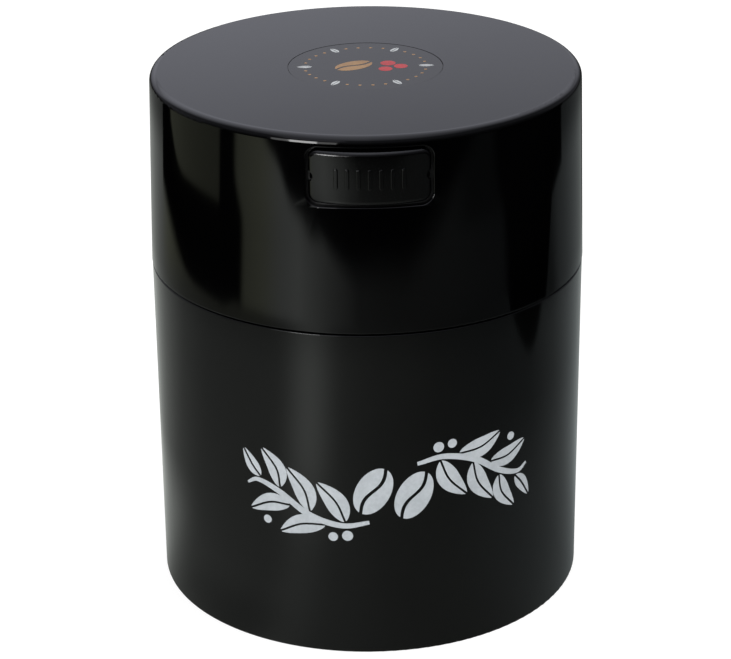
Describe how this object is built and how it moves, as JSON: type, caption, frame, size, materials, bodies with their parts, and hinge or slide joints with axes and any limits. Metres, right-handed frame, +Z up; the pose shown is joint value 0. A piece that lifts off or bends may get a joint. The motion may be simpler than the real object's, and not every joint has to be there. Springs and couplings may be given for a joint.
{
  "type": "coffee canister",
  "caption": "Round airtight coffee canister with a straight-sided body and a push-down lid that holds a press button and a vent valve",
  "frame": {"origin": "centre of the foot, on the surface that the canister stands on", "axes": "+Z up along the canister's axis; the button faces -Y"},
  "size_m": [0.1202, 0.1207, 0.1485],
  "materials": {
    "body_plastic": "black moulded plastic, satin to semi-gloss",
    "lid_plastic": "black moulded plastic, high gloss",
    "button_plastic": "black moulded plastic, high gloss",
    "badge_plastic": null,
    "inner_plastic": "dark moulded plastic, fine matt texture",
    "soft_rubber": "grey silicone rubber, matt",
    "spring_steel": "drawn stainless spring wire"
  },
  "bodies": {
    "canister": {"canister_body": "body_plastic"},
    "lid": {"lid_shell": "lid_plastic", "inner_lid": "inner_plastic", "lid_gasket": "soft_rubber", "lid_badge": "badge_plastic"},
    "button": {"press_button": "button_plastic", "button_slide": "inner_plastic", "button_spring": "spring_steel"},
    "valve": {"valve_stem": "inner_plastic", "valve_seal": "soft_rubber", "valve_spring": "spring_steel"}
  },
  "joints": [
    {"name": "lid_lift", "type": "slide", "parent": "canister", "child": "lid", "axis": [0, 0, 1], "range_m": [0, 0.06]},
    {"name": "button_press", "type": "slide", "parent": "lid", "child": "button", "axis": [0, 1, 0], "range_m": [0, 0.003], "stiffness_N_per_m": 300, "springref_m": -0.004, "deforming": ["button_spring"]},
    {"name": "valve_lift", "type": "slide", "parent": "lid", "child": "valve", "axis": [0, 0, 1], "range_m": [0, 0.0024], "deforming": ["valve_spring"]}
  ],
  "couplings": [
    {"joint": "valve_lift", "follows": "button_press", "ratio": 0.8}
  ]
}
